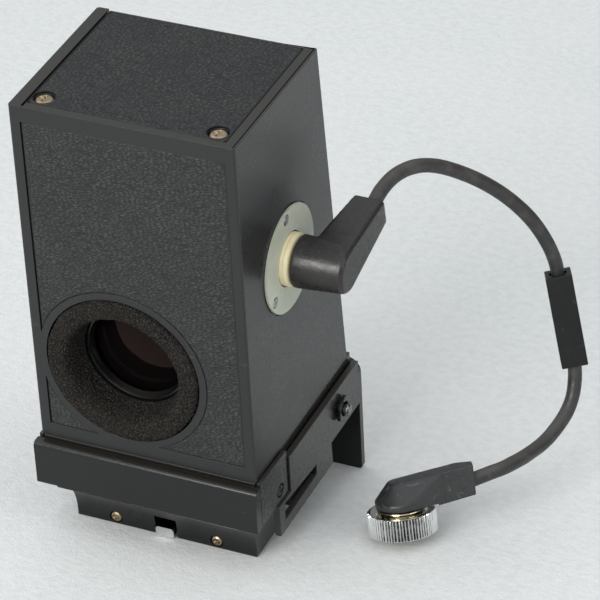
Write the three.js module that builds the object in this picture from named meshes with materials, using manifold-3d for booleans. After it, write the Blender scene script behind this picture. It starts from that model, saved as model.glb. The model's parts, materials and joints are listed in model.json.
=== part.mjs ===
// Camera finder with a plug-in cord, in millimetres, +Z up.
// The finder stands on a table, tipped forward because the rear skirt of its base is deeper than
// the front block. Everything on the finder is drawn upright in the finder's own frame: X to the
// right, Y from the front face to the back, Z up from the seam between the box and the base. One
// group then tips it and stands it on the table. The cord and its screw-on head lie in the table
// frame, whose origin is on the table under the middle of the finder.
import * as THREE from "three";
import { mergeVertices } from "three/addons/utils/BufferGeometryUtils.js";
import Module from "manifold-3d";

const wasm = await Module();
wasm.setup();

// ---------------------------------------------------------------- driving dimensions
const LEAN = THREE.MathUtils.degToRad(9); // forward tip of the standing finder
const STAND = [0, -20.92, 22.94]; // table position of the finder frame's origin
const CLEAR = 0.3; // gap kept between neighbouring solids

const BOX_HALF = 24; // half the width of the box
const BOX_TOP = 79; // height of the box over the seam
const DEPTH_TOP = 39.1; // front to back at the top
const DEPTH_BOTTOM = 46.4; // front to back at the seam
const LEFT_WALL = 2.6;
const RIGHT_WALL = 1.4;
const FRONT_WALL = 1.8;
const REAR_WALL = 1.6;
const COVER_THICK = 2.2;
const LIP = 0.5; // thin rim of the housing round the top cover
const SKIN = 0.6; // leatherette thickness

const EYE = { x: -4, z: 20.6, hole: 11.7, foam: 16.6, border: 18.8 };
const SOCKET = { y: 20.6, z: 41.3, disc: 11.3, pocket: 23.7, collar: 5.5, bore: 2.05 };
const SEGMENTS = 48;

const BASE_HALF = 24.8;
const PLATE_BOTTOM = -10.9;
const BLOCK = { half: 20.5, front: 5.56, back: 16, bottom: -24.1 };
const RAIL = { inner: 23.9, outer: 25.2, top: -2.6 };
const SKIRT = { front: 48.7, back: 50.2, bottom: -30.93, top: -3 };
const BUTTON = { y: 39, z: -7.9, radius: 1.3, reach: 27.5 };

const CORD_RADIUS = 1.5;
const RING = { radius: 7.2, height: 4.8, mouth: 6.0, hole: 4.3, web: 1.1 };

// The cord's centre line in the table frame, from the plug's boot to the head's boot.
const CORD_ROUTE = [
  [34.3, 10.45, 72.7], [34.3, 12.4, 73.6], [34.6, 14.9, 75.0], [35.5, 18.0, 76.4], [36.9, 21.2, 77.1],
  [38.6, 24.5, 77.0], [40.8, 28.2, 75.9], [43.8, 32.9, 73.3], [47.5, 38.0, 69.5], [51.4, 42.8, 64.7],
  [55.1, 46.9, 59.0], [57.8, 49.3, 53.6], [59.4, 50.5, 49.3],
  [60.2, 51.0, 45.9], [61.5, 50.73, 41.0], [62.8, 50.45, 36.1], [64.1, 50.18, 31.2], [65.4, 49.9, 26.3],
  [65.9, 49.3, 22.9], [66.1, 47.7, 19.3], [65.6, 45.3, 16.3], [64.4, 41.1, 13.6], [63.5, 36.5, 12.8],
  [62.7, 31.8, 12.9], [61.9, 27.4, 13.3], [60.4, 23.0, 13.4], [58.9, 20.7, 13.2], [56.1, 17.9, 12.3],
];
const INLINE = { from: 13, to: 17, half: 2.8, bore: 1.9 }; // route points that the block spans

// The screw-on head: its ring's bottom centre, its axis, and the way its boot points.
const HEAD = {
  at: new THREE.Vector3(44.4, 8.6, 1.65),
  axis: new THREE.Vector3(-0.19, 0.115, 0.975).normalize(),
  arm: new THREE.Vector3(0.86, 0.505, 0.08),
};

// ---------------------------------------------------------------- materials
const paint = (color, roughness, metalness = 0) =>
  new THREE.MeshStandardMaterial({ color, roughness, metalness });
const LOOK = {
  enamel: () => paint(0x26292a, 0.38, 0.3),
  leatherette: () => paint(0x34373a, 0.8),
  foam: () => paint(0x2a241e, 1.0),
  blackPlastic: () => paint(0x17171a, 0.55),
  palePlastic: () => paint(0xa5aca0, 0.5),
  cream: () => paint(0xcdc396, 0.5),
  cable: () => paint(0x2f2b2a, 0.6),
  rubber: () => paint(0x242122, 0.65),
  chrome: () => paint(0xd2d4d0, 0.2, 1),
  brass: () => paint(0x8a7648, 0.35, 1),
  steel: () => paint(0x6f7274, 0.35, 1),
  glass: () => paint(0xbfd2d0, 0.05),
  board: () => paint(0x5a4a28, 0.6),
};

// ---------------------------------------------------------------- geometry helpers
// Shared vertices and no empty triangles, which is what a closed solid needs.
function closed(geometry) {
  const bare = geometry.index ? geometry.clone() : geometry;
  bare.deleteAttribute("normal");
  bare.deleteAttribute("uv");
  const merged = mergeVertices(bare, 1e-4);
  const corners = merged.index.array;
  const kept = [];
  for (let i = 0; i < corners.length; i += 3) {
    const [a, b, c] = [corners[i], corners[i + 1], corners[i + 2]];
    if (a !== b && b !== c && a !== c) kept.push(a, b, c);
  }
  merged.setIndex(kept);
  merged.computeVertexNormals();
  return merged;
}

function toSolid(geometry) {
  const merged = closed(geometry);
  const mesh = new wasm.Mesh({
    numProp: 3,
    vertProperties: Float32Array.from(merged.attributes.position.array),
    triVerts: Uint32Array.from(merged.index.array),
  });
  return new wasm.Manifold(mesh);
}

function toGeometry(solid) {
  const mesh = solid.getMesh();
  const geometry = new THREE.BufferGeometry();
  geometry.setAttribute("position", new THREE.BufferAttribute(Float32Array.from(mesh.vertProperties), 3));
  geometry.setIndex(Array.from(mesh.triVerts));
  return geometry;
}

const cut = (body, ...tools) =>
  toGeometry(tools.reduce((solid, tool) => solid.subtract(toSolid(tool)), toSolid(body)));
const join = (...parts) => toGeometry(parts.map(toSolid).reduce((a, b) => a.add(b)));
const common = (a, b) => toGeometry(toSolid(a).intersect(toSolid(b)));
const hull = (...points) => toGeometry(wasm.Manifold.hull(points.flat()));

const box = (x0, x1, y0, y1, z0, z1) =>
  new THREE.BoxGeometry(x1 - x0, y1 - y0, z1 - z0).translate((x0 + x1) / 2, (y0 + y1) / 2, (z0 + z1) / 2);

const outline = (points) => new THREE.Shape(points.map(([u, v]) => new THREE.Vector2(u, v)));
const prism = (shape, depth) =>
  new THREE.ExtrudeGeometry(shape, { depth, bevelEnabled: false, curveSegments: 8 });

// A (Y, Z) outline drawn out along X, from x0 to x1.
function alongX(shape, x0, x1) {
  const turn = new THREE.Matrix4().set(0, 0, 1, x0, 1, 0, 0, 0, 0, 1, 0, 0, 0, 0, 0, 1);
  return prism(shape, x1 - x0).applyMatrix4(turn);
}

// An (X, Z) outline drawn out along Y, from y0 to y1.
function alongY(shape, y0, y1) {
  const turn = new THREE.Matrix4().set(1, 0, 0, 0, 0, 0, -1, y1, 0, 1, 0, 0, 0, 0, 0, 1);
  return prism(shape, y1 - y0).applyMatrix4(turn);
}

// An (X, Y) outline drawn out along Z, from z0 to z1.
const alongZ = (shape, z0, z1) => prism(shape, z1 - z0).translate(0, 0, z0);

function roundedRectangle(x0, x1, y0, y1, radius) {
  const shape = new THREE.Shape();
  shape.absarc(x1 - radius, y0 + radius, radius, -Math.PI / 2, 0);
  shape.absarc(x1 - radius, y1 - radius, radius, 0, Math.PI / 2);
  shape.absarc(x0 + radius, y1 - radius, radius, Math.PI / 2, Math.PI);
  shape.absarc(x0 + radius, y0 + radius, radius, Math.PI, 1.5 * Math.PI);
  return shape;
}

// A turned part: (radius, height) points spun about an axis through a point.
function turned(points, at, axis, segments = SEGMENTS) {
  const profile = points.map(([r, h]) => new THREE.Vector2(r, h));
  const turn = new THREE.Quaternion().setFromUnitVectors(new THREE.Vector3(0, 1, 0), axis);
  return new THREE.LatheGeometry(profile, segments).applyQuaternion(turn).translate(at.x, at.y, at.z);
}

const rodProfile = (radius, h0, h1) => [[0, h0], [radius, h0], [radius, h1], [0, h1]];
const tubeProfile = (inner, outer, h0, h1) =>
  [[inner, h0], [outer, h0], [outer, h1], [inner, h1], [inner, h0]];

const X_AXIS = new THREE.Vector3(1, 0, 0);
const Y_AXIS = new THREE.Vector3(0, 1, 0);
const Z_AXIS = new THREE.Vector3(0, 0, 1);
const point = (x, y, z) => new THREE.Vector3(x, y, z);

const turnedX = (profile, y, z, segments) => turned(profile, point(0, y, z), X_AXIS, segments);
const turnedY = (profile, x, z, segments) => turned(profile, point(x, 0, z), Y_AXIS, segments);
const turnedZ = (profile, x, y, segments) => turned(profile, point(x, y, 0), Z_AXIS, segments);

const group = new THREE.Group();
const finder = new THREE.Group();
finder.rotation.x = LEAN;
finder.position.set(...STAND);
group.add(finder);

function place(parent, name, geometry, look) {
  const mesh = new THREE.Mesh(closed(geometry), look());
  mesh.name = name;
  parent.add(mesh);
}

// ---------------------------------------------------------------- box
const backAt = (z) => DEPTH_BOTTOM - ((DEPTH_BOTTOM - DEPTH_TOP) * z) / BOX_TOP;

// Front, sides and back in one casting, open at the top and the bottom.
function housing() {
  const past = 1;
  const side = outline([[0, 0], [DEPTH_BOTTOM, 0], [DEPTH_TOP, BOX_TOP], [0, BOX_TOP]]);
  const outer = alongX(side, -BOX_HALF, BOX_HALF);
  const hollow = alongX(
    outline([
      [FRONT_WALL, -past],
      [backAt(-past) - REAR_WALL, -past],
      [backAt(BOX_TOP + past) - REAR_WALL, BOX_TOP + past],
      [FRONT_WALL, BOX_TOP + past],
    ]),
    -BOX_HALF + LEFT_WALL,
    BOX_HALF - RIGHT_WALL,
  );
  const coverSeat = box(
    -BOX_HALF + LEFT_WALL, BOX_HALF - LIP, LIP, DEPTH_TOP + past, BOX_TOP - COVER_THICK, BOX_TOP + past,
  );
  const eyeHole = turnedY(rodProfile(EYE.foam + CLEAR, -past, FRONT_WALL + past), EYE.x, EYE.z);
  const socketHole = turnedX(rodProfile(SOCKET.collar + CLEAR, 20, 25), SOCKET.y, SOCKET.z);
  const discSeat = turnedX(rodProfile(SOCKET.disc + CLEAR, SOCKET.pocket, 25), SOCKET.y, SOCKET.z);
  const frontSeat = alongY(frontSkinOutline(CLEAR), -past, SKIN);
  const cornerSeat = alongY(cornerSkinOutline(CLEAR), -past, SKIN);
  const rearSeat = rearSkin(CLEAR, past);
  return cut(outer, hollow, coverSeat, eyeHole, socketHole, discSeat, frontSeat, cornerSeat, rearSeat);
}

const FRONT_SKIN = { left: -21.4, right: 21.6, bottom: 3.6, top: 75.2 };

// The front leatherette: a rectangle with the smooth eyepiece border bitten out of it.
function frontSkinOutline(grow) {
  const { left, right, bottom, top } = FRONT_SKIN;
  const radius = EYE.border - grow;
  const leftRise = Math.sqrt(radius ** 2 - (left - grow - EYE.x) ** 2);
  const bottomRun = Math.sqrt(radius ** 2 - (bottom - grow - EYE.z) ** 2);
  const shape = new THREE.Shape();
  shape.moveTo(EYE.x + bottomRun, bottom - grow);
  shape.lineTo(right + grow, bottom - grow);
  shape.lineTo(right + grow, top + grow);
  shape.lineTo(left - grow, top + grow);
  shape.lineTo(left - grow, EYE.z + leftRise);
  const start = Math.atan2(leftRise, left - grow - EYE.x);
  const end = Math.atan2(bottom - grow - EYE.z, bottomRun);
  const steps = 24;
  for (let i = 1; i < steps; i += 1) {
    const angle = start + ((end - start) * i) / steps;
    shape.lineTo(EYE.x + radius * Math.cos(angle), EYE.z + radius * Math.sin(angle));
  }
  return shape;
}

// The small piece of leatherette that is left below the eyepiece border, at the left.
function cornerSkinOutline(grow) {
  const { left, bottom } = FRONT_SKIN;
  const radius = EYE.border - grow;
  const leftDrop = -Math.sqrt(radius ** 2 - (left - grow - EYE.x) ** 2);
  const bottomRun = -Math.sqrt(radius ** 2 - (bottom - grow - EYE.z) ** 2);
  const shape = new THREE.Shape();
  shape.moveTo(left - grow, bottom - grow);
  shape.lineTo(EYE.x + bottomRun, bottom - grow);
  const start = Math.atan2(bottom - grow - EYE.z, bottomRun);
  const end = Math.atan2(leftDrop, left - grow - EYE.x);
  const steps = 6;
  for (let i = 1; i <= steps; i += 1) {
    const angle = start + ((end - start) * i) / steps;
    shape.lineTo(EYE.x + radius * Math.cos(angle), EYE.z + radius * Math.sin(angle));
  }
  return shape;
}

const REAR_SKIN = { half: 20.5, bottom: 4, top: 75 };

// The back leatherette follows the sloping back wall.
function rearSkin(grow, proud) {
  const low = REAR_SKIN.bottom - grow;
  const high = REAR_SKIN.top + grow;
  const deep = grow > 0 ? SKIN : SKIN - CLEAR;
  const side = outline([
    [backAt(low) - deep, low],
    [backAt(low) + proud, low],
    [backAt(high) + proud, high],
    [backAt(high) - deep, high],
  ]);
  return alongX(side, -REAR_SKIN.half - grow, REAR_SKIN.half + grow);
}

const TOP_SCREWS = [["left", -18.6], ["right", 18.4]];
const TOP_SCREW_Y = 5.1;
const COVER = {
  left: -BOX_HALF + LEFT_WALL + CLEAR,
  right: BOX_HALF - LIP - CLEAR,
  front: LIP + CLEAR,
  back: DEPTH_TOP - 0.2,
  bottom: BOX_TOP - COVER_THICK + CLEAR,
  top: BOX_TOP - 0.2,
};
const SCREW_SEAT = COVER.bottom + 0.4;
const TOP_SKIN = { left: -20.6, right: 21.0, front: 2.5, back: 38.2, thick: 0.4 };

function topCover() {
  const plate = box(COVER.left, COVER.right, COVER.front, COVER.back, COVER.bottom, COVER.top);
  const seat = box(
    TOP_SKIN.left - CLEAR, TOP_SKIN.right + CLEAR, TOP_SKIN.front - CLEAR, TOP_SKIN.back + CLEAR,
    COVER.top - SKIN, COVER.top + 1,
  );
  const stepped = [[0, COVER.bottom - 1], [0.9, COVER.bottom - 1], [0.9, SCREW_SEAT], [2.2, SCREW_SEAT],
    [2.2, COVER.top + 1], [0, COVER.top + 1]];
  const holes = TOP_SCREWS.map(([, x]) => turnedZ(stepped, x, TOP_SCREW_Y, 20));
  return cut(plate, seat, ...holes);
}

function topSkin() {
  const z0 = COVER.top - SKIN + CLEAR;
  const sheet = box(TOP_SKIN.left, TOP_SKIN.right, TOP_SKIN.front, TOP_SKIN.back, z0, z0 + TOP_SKIN.thick);
  const holes = TOP_SCREWS.map(([, x]) => turnedZ(rodProfile(2.2, z0 - 1, z0 + 2), x, TOP_SCREW_Y, 20));
  return cut(sheet, ...holes);
}

// A cross-headed screw with its axis along +h from the head's rim down to the shank's end.
function screw(at, axis, headRadius, headHeight, shankRadius, shankLength) {
  const body = turned(
    [
      [0, -shankLength], [shankRadius, -shankLength], [shankRadius, 0], [headRadius, 0],
      [headRadius, headHeight * 0.5], [headRadius * 0.7, headHeight], [0, headHeight],
    ],
    at, axis, 16,
  );
  const turn = new THREE.Quaternion().setFromUnitVectors(Y_AXIS, axis);
  const slot = (wide, deep) =>
    new THREE.BoxGeometry(wide, headHeight, deep)
      .translate(0, headHeight, 0)
      .applyQuaternion(turn)
      .translate(at.x, at.y, at.z);
  const long = headRadius * 1.1;
  const thin = headRadius * 0.26;
  return cut(body, slot(long, thin), slot(thin, long));
}

// ---------------------------------------------------------------- eyepiece and optics
const eyeTurned = (profile, segments) => turnedY(profile, EYE.x, EYE.z, segments);

// Soft foam ring, with a sleeve that lines the hole down to the lens.
const foamEyecup = () =>
  eyeTurned([
    [12.0, -0.9], [EYE.foam, -0.9], [EYE.foam, 1.9], [12.9, 1.9], [12.9, 5.8], [11.2, 5.8], [12.0, -0.9],
  ]);

// Eyepiece barrel with the flange that the foam sits against.
function eyepieceFlange() {
  const rim = 17.1;
  const throat = 14.6;
  const barrel = 13.2;
  const lip = 9.9;
  return eyeTurned([
    [barrel, 2.2], [rim, 2.2], [rim, 3.6], [throat, 3.6], [throat, 7.4], [barrel, 7.4], [barrel, 17.2],
    [lip, 17.2], [lip, 16.0], [EYE.hole, 16.0], [EYE.hole, 6.1], [barrel, 6.1], [barrel, 2.2],
  ]);
}

const retainingRing = () =>
  eyeTurned([[10.6, 6.3], [11.3, 6.3], [11.3, 7.9], [10.0, 7.9], [10.6, 6.3]]);

// A lens as a closed (radius, height) profile with spherical faces of the given sags.
function lensProfile(radius, front, back, frontSag, backSag) {
  const steps = 8;
  const points = [];
  for (let i = 0; i <= steps; i += 1) {
    const r = (radius * i) / steps;
    points.push([r, front + frontSag * (r / radius) ** 2]);
  }
  for (let i = steps; i >= 0; i -= 1) {
    const r = (radius * i) / steps;
    points.push([r, back - backSag * (r / radius) ** 2]);
  }
  return points;
}

// The exit face is centred on the eyepiece; light enters through the face below.
const PRISM = { x: EYE.x, front: 17.9, bottom: 12, face: 16.8, half: 14 };
const CRADLE = { half: 17, front: 17.6, back: 41, floor: 9.5, foot: -0.1, lip: 17.6 };

// Roof prism: entrance face below, exit face towards the eyepiece, ridged roof on top.
function roofPrism() {
  const { x, front, bottom, face, half } = PRISM;
  const reach = face * Math.SQRT2;
  const side = outline([
    [front, bottom], [front + face, bottom], [front + reach, bottom + face],
    [front + face, bottom + reach], [front, bottom + face],
  ]);
  const ridge = 2;
  const eaves = bottom + face * 0.75;
  const roof = outline([
    [x - half, bottom - 1], [x + half, bottom - 1], [x + half, eaves],
    [x + ridge, bottom + reach + 1], [x - ridge, bottom + reach + 1], [x - half, eaves],
  ]);
  return common(alongX(side, x - half, x + half), alongY(roof, front - 1, front + reach + 1));
}

// Table on two side legs, with a window under the prism and a lip on each side of it.
function prismCradle() {
  const { half, front, back, floor, foot, lip } = CRADLE;
  const top = PRISM.bottom - CLEAR;
  const plate = box(PRISM.x - half, PRISM.x + half, front, back, floor, top);
  const window = box(PRISM.x - 12.5, PRISM.x + 12.5, 19.5, 34.5, floor - 1, top + 1);
  const sides = [-1, 1].flatMap((side) => {
    const wall = (inner, z0, z1) => {
      const ends = [PRISM.x + side * inner, PRISM.x + side * half].sort((a, b) => a - b);
      return box(...ends, 19, 36, z0, z1);
    };
    return [wall(15.6, foot, floor + 0.5), wall(14.6, top - 0.5, lip)];
  });
  return cut(join(plate, ...sides), window);
}

// Spring strap that holds the prism down on its cradle.
function prismStrap() {
  const foot = CRADLE.lip + CLEAR;
  const right = [[7.2, 33.9], [15.2, 25.0], [15.2, foot], [16.0, foot], [16.0, 25.3], [7.6, 34.7]];
  const left = right.map(([x, z]) => [-x, z]).reverse();
  return alongY(outline([...right, ...left]), 24.2, 28.2).translate(PRISM.x, 0, 0);
}

const WINDOW = { half: 15.3, front: 18.1, back: 35.4 }; // light window in the base
const condenser = () =>
  common(
    turnedZ([[0, -4.6], [22, -4.6], [22, -2.2], [16, -1.2], [8, -0.7], [0, -0.5]], PRISM.x, 27, 40),
    alongZ(
      roundedRectangle(
        PRISM.x - WINDOW.half + CLEAR, PRISM.x + WINDOW.half - CLEAR,
        WINDOW.front + CLEAR, WINDOW.back - CLEAR, 1.5,
      ),
      -6, 2,
    ),
  );

// ---------------------------------------------------------------- metering electronics
const BOARD = { y: 31, left: -18, right: 18, bottom: 38.5, top: 72 };

function circuitBoard() {
  const plate = box(BOARD.left, BOARD.right, BOARD.y, BOARD.y + 1.2, BOARD.bottom, BOARD.top);
  const holes = [BOARD.left + 3, BOARD.right - 3].map((x) =>
    turnedY(rodProfile(1.5, BOARD.y - 1, BOARD.y + 3), x, BOARD.top - 3, 16));
  return cut(plate, ...holes);
}

const boardPost = (x) =>
  join(
    turnedY(rodProfile(1.2, BOARD.y - 1.2, BOARD.y + 2), x, BOARD.top - 3, 16),
    turnedY(rodProfile(2.6, BOARD.y + 1.5, BOARD.y + 6), x, BOARD.top - 3, 16),
  );

const capacitor = () => turnedY(rodProfile(4, BOARD.y - 11, BOARD.y - CLEAR), -9, 47, 24);
const amplifierCan = () => turnedY(rodProfile(4.4, BOARD.y - 5, BOARD.y - CLEAR), 9, 60, 24);

// Cell that looks down through the prism's roof at the focusing screen.
const CELL_Y = 20.6;
const meterCell = () =>
  turnedZ([[0, 34.4], [2.4, 34.4], [2.4, 35.2], [3, 35.2], [3, 38], [0, 38]], EYE.x, CELL_Y, 24);

function cellBracket() {
  const foot = 38.3;
  const arm = box(EYE.x - 5, EYE.x + 5, 2.1, CELL_Y + 3.4, foot, foot + 1.2);
  const tab = box(EYE.x - 5, EYE.x + 5, 2.1, 3.3, foot, foot + 8);
  return join(arm, tab);
}

// ---------------------------------------------------------------- cord socket
const socketTurned = (profile, segments) => turnedX(profile, SOCKET.y, SOCKET.z, segments);
const SOCKET_SCREWS = [["upper", 95], ["lower", 215], ["rear", 335]];
const SOCKET_SCREW_CIRCLE = 9.6;

function onSocketCircle(degrees) {
  const angle = THREE.MathUtils.degToRad(degrees);
  return [SOCKET.y + SOCKET_SCREW_CIRCLE * Math.cos(angle), SOCKET.z + SOCKET_SCREW_CIRCLE * Math.sin(angle)];
}

function socketPlate() {
  const face = SOCKET.pocket + CLEAR;
  const disc = socketTurned(tubeProfile(SOCKET.collar + CLEAR, SOCKET.disc, face, face + 0.5));
  const holes = SOCKET_SCREWS.map(([, degrees]) =>
    turnedX(rodProfile(1.25, face - 1, face + 2), ...onSocketCircle(degrees), 16));
  return cut(disc, ...holes);
}

// Cream moulding with the socket's bore, closed at its inner end.
const socketInsert = () =>
  socketTurned([
    [0, 10], [SOCKET.collar, 10], [SOCKET.collar, 25.7], [4.9, 26.2], [SOCKET.bore, 26.2], [SOCKET.bore, 13],
    [0, 13],
  ]);

const socketNut = () =>
  cut(socketTurned(rodProfile(8, 18.6, 22.3), 6), socketTurned(rodProfile(SOCKET.collar + CLEAR, 17, 24)));

const socketScrew = (degrees) => {
  const [y, z] = onSocketCircle(degrees);
  return screw(point(SOCKET.pocket + CLEAR + 0.15, y, z), X_AXIS, 1.05, 0.4, 0.6, 0.3);
};

// ---------------------------------------------------------------- base
const FRAME = { half: 23.6, front: 0.3, back: 48.4, bottom: -13.8, top: -0.4 };
const LAND = { half: 18.9, front: 16.6, back: 47.8, bottom: -14 }; // the face that sits on the camera

// Open frame that the box stands on, with the light window down its middle.
function baseFrame() {
  const block = box(-FRAME.half, FRAME.half, FRAME.front, FRAME.back, FRAME.bottom, FRAME.top);
  const land = box(-LAND.half, LAND.half, LAND.front, LAND.back, LAND.bottom, FRAME.bottom + 1);
  const window = box(
    PRISM.x - WINDOW.half, PRISM.x + WINDOW.half, WINDOW.front, WINDOW.back, FRAME.bottom - 1, FRAME.top + 1,
  );
  const noseRoom = box(-FRAME.half - 1, FRAME.half + 1, -1, BLOCK.back + CLEAR, FRAME.bottom - 1, PLATE_BOTTOM);
  const pockets = [-1, 1].map((side) =>
    turned(rodProfile(2.7, 17.3, FRAME.half + 1), point(0, BUTTON.y, BUTTON.z), point(side, 0, 0), 24));
  return cut(join(block, land), window, noseRoom, ...pockets);
}

// The same piece for the other side: flipped left to right, with its faces still pointing out.
function mirrored(geometry) {
  const flipped = closed(geometry.scale(-1, 1, 1));
  const corners = flipped.index.array;
  for (let i = 0; i < corners.length; i += 3) {
    [corners[i], corners[i + 1]] = [corners[i + 1], corners[i]];
  }
  return flipped;
}

function namePlate() {
  const shape = new THREE.Shape();
  const thick = 2.3;
  const top = -0.9;
  const crown = { run: 0.9, drop: 1.1 };
  shape.moveTo(0, PLATE_BOTTOM);
  shape.lineTo(0, top);
  shape.lineTo(-thick + crown.run, top);
  shape.absellipse(-thick + crown.run, top - crown.drop, crown.run, crown.drop, Math.PI / 2, Math.PI, false);
  shape.lineTo(-thick, PLATE_BOTTOM);
  return alongX(shape, -BASE_HALF - 0.1, BASE_HALF + 0.1);
}

// The block under the front of the base. Its front is a hollow cove that sweeps down to its foot.
function frontBlock() {
  const top = PLATE_BOTTOM - CLEAR;
  const nose = -2;
  const cove = { y: BLOCK.front - 9.9, z: -22.9, run: 9.9, rise: 11.7 };
  const shape = new THREE.Shape();
  shape.moveTo(BLOCK.back, top);
  shape.lineTo(nose, top);
  shape.absellipse(cove.y, cove.z, cove.run, cove.rise, Math.acos((nose - cove.y) / cove.run), 0, true);
  shape.lineTo(BLOCK.front, BLOCK.bottom);
  shape.lineTo(BLOCK.back, BLOCK.bottom);
  const body = alongX(shape, -BLOCK.half, BLOCK.half);
  const tabSlot = box(-2.5, 2.4, 0, 13.3, BLOCK.bottom - 1, -19.2);
  const holes = BLOCK_SCREWS.map(([, x]) => turnedY(rodProfile(1.45, 0, 8.5), x, BLOCK_SCREW_Z, 16));
  return cut(body, tabSlot, ...holes);
}

const BLOCK_SCREWS = [["left", -11.6], ["right", 11.4]];
const BLOCK_SCREW_Z = -22.35;

const catchTab = () =>
  join(
    alongY(roundedRectangle(-2.1, 2.0, -23.8, -21.4, 0.8), 4.7, 8),
    box(-1.2, 1.2, 7, 12.9, -23.4, -21.7),
  );

function sidePlate() {
  const shape = outline([[0.4, PLATE_BOTTOM], [13, PLATE_BOTTOM], [13, -0.7], [0.4, -0.3]]);
  const hole = turnedX(rodProfile(1.6, 20, 30), SIDE_SCREW.y, SIDE_SCREW.z, 16);
  return cut(alongX(shape, RAIL.inner, BASE_HALF), hole);
}

const SIDE_SCREW = { y: 9.4, z: -8.3 };
const sideScrew = () =>
  screw(point(BASE_HALF - 0.35, SIDE_SCREW.y, SIDE_SCREW.z), X_AXIS, 1.2, 0.45, 0.6, 0.4);

// Rail with its long window, and the step up to the skirt at the back.
function sideRail() {
  const shape = outline([
    [13.4, RAIL.top], [13.4, -11.3], [7.6, -11.3], [7.6, -18.8], [34.2, -19.0], [33.9, -13.5],
    [FRAME.back, -13.5], [FRAME.back, RAIL.top],
  ]);
  const windowShape = outline([[10.2, -12.2], [26.1, -13.6], [25.9, -16.0], [10.2, -16.3]]);
  const body = alongX(shape, RAIL.inner, RAIL.outer);
  const window = alongX(windowShape, RAIL.inner - 1, RAIL.outer + 1);
  const hole = turnedX(rodProfile(1.7, RAIL.inner - 1, RAIL.outer + 1), BUTTON.y, BUTTON.z, 20);
  return cut(body, window, hole);
}

// Channel that the camera's rail runs in, behind the window.
function guideChannel() {
  const shape = outline([[17, -14.1], [17, -18.4], [33.5, -18.6], [33.2, -14.1]]);
  return alongX(shape, 19.4, FRAME.half);
}

// Plate behind the base that reaches down past the camera's far face. Only its lower part touches.
function rearSkirt() {
  const shape = new THREE.Shape();
  const half = RAIL.outer;
  const low = 0.8;
  const high = 3.2;
  const relief = 0.1;
  shape.absarc(half - low, SKIRT.bottom + low, low, -Math.PI / 2, 0);
  shape.absarc(half - high, SKIRT.top - high, high, 0, Math.PI / 2);
  shape.absarc(-half + high, SKIRT.top - high, high, Math.PI / 2, Math.PI);
  shape.absarc(-half + low, SKIRT.bottom + low, low, Math.PI, 1.5 * Math.PI);
  const upper = box(
    -half - 1, half + 1, SKIRT.front - 1, SKIRT.front + relief, LAND.bottom - 0.5, SKIRT.top + 1,
  );
  return cut(alongY(shape, SKIRT.front, SKIRT.back), upper);
}

const buttonTurned = (profile, segments) => turnedX(profile, BUTTON.y, BUTTON.z, segments);

// Lobed collar round the release button.
function buttonCollar() {
  const shape = new THREE.Shape();
  const steps = 40;
  for (let i = 0; i < steps; i += 1) {
    const angle = (2 * Math.PI * i) / steps;
    const radius = 2.65 + 0.3 * Math.cos(5 * angle);
    const at = [BUTTON.y + radius * Math.cos(angle), BUTTON.z + radius * Math.sin(angle)];
    if (i === 0) shape.moveTo(...at);
    else shape.lineTo(...at);
  }
  const bore = buttonTurned(rodProfile(BUTTON.radius + 0.35, 24, 30), 24);
  return cut(alongX(shape, RAIL.outer + CLEAR, RAIL.outer + 1.1), bore);
}

const buttonPin = () =>
  buttonTurned([
    [0, 19.4], [1.0, 19.4], [1.0, 22.1], [2.3, 22.1], [2.3, 23.2], [BUTTON.radius, 23.2],
    [BUTTON.radius, BUTTON.reach - 0.4], [BUTTON.radius - 0.4, BUTTON.reach], [0, BUTTON.reach],
  ], 24);

// Return spring round the button's stem, between the pocket's floor and the stem's flange.
function buttonSpring() {
  const turns = 3;
  const start = 19.4;
  const pitch = 0.72;
  const coil = new (class extends THREE.Curve {
    getPoint(t, target = new THREE.Vector3()) {
      const angle = 2 * Math.PI * turns * t;
      const [y, z] = [BUTTON.y + 1.7 * Math.cos(angle), BUTTON.z + 1.7 * Math.sin(angle)];
      return target.set(start + pitch * turns * t, y, z);
    }
  })();
  const wire = new THREE.Shape().absarc(0, 0, 0.2, 0, 2 * Math.PI);
  return new THREE.ExtrudeGeometry(wire, {
    extrudePath: coil, steps: turns * 14, curveSegments: 3, bevelEnabled: false,
  });
}

// ---------------------------------------------------------------- cord and its fittings
// Points of the boots, in (u, v, h): u along the arm, v across it, h away from the boot's mouth.
function circle(radius, u, h, count = 36) {
  const angles = Array.from({ length: count }, (_, i) => (2 * Math.PI * i) / count);
  return angles.map((angle) => [u + radius * Math.cos(angle), radius * Math.sin(angle), h]);
}
const across = (u, half, h) => [[u, -half, h], [u, half, h]];

// Puts geometry drawn with h up and the arm along local X at a point, axis and arm direction.
function aim(geometry, at, axis, arm) {
  const w = axis.clone().normalize();
  const u = arm.clone().addScaledVector(w, -arm.dot(w)).normalize();
  const v = new THREE.Vector3().crossVectors(w, u);
  return geometry.applyMatrix4(new THREE.Matrix4().makeBasis(u, v, w)).translate(at.x, at.y, at.z);
}

const PLUG = {
  mouth: 26.5, height: 11, arm: 6.4, root: 8.2, length: 18.1, half: 3.15, foot: 5.5, toe: 4.75, edge: 0.6,
  rise: THREE.MathUtils.degToRad(9.2),
};

// Round barrel that tapers away from the socket, with the cord's arm square to it.
function plugBoot() {
  const { mouth, height, arm, root, length, half, foot, toe, edge, rise } = PLUG;
  const top = [...circle(toe, 0, height - edge), ...circle(toe - edge, 0, height)];
  const barrel = hull(circle(foot, 0, 0), top);
  const bar = hull(
    circle(toe, 0, height - root), top,
    across(length, half, height - arm), across(length, half, height - edge),
    across(length, half - edge, height),
  );
  const arms = point(0, Math.cos(rise), Math.sin(rise));
  return aim(join(barrel, bar), point(mouth, SOCKET.y, SOCKET.z), X_AXIS, arms);
}

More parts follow.
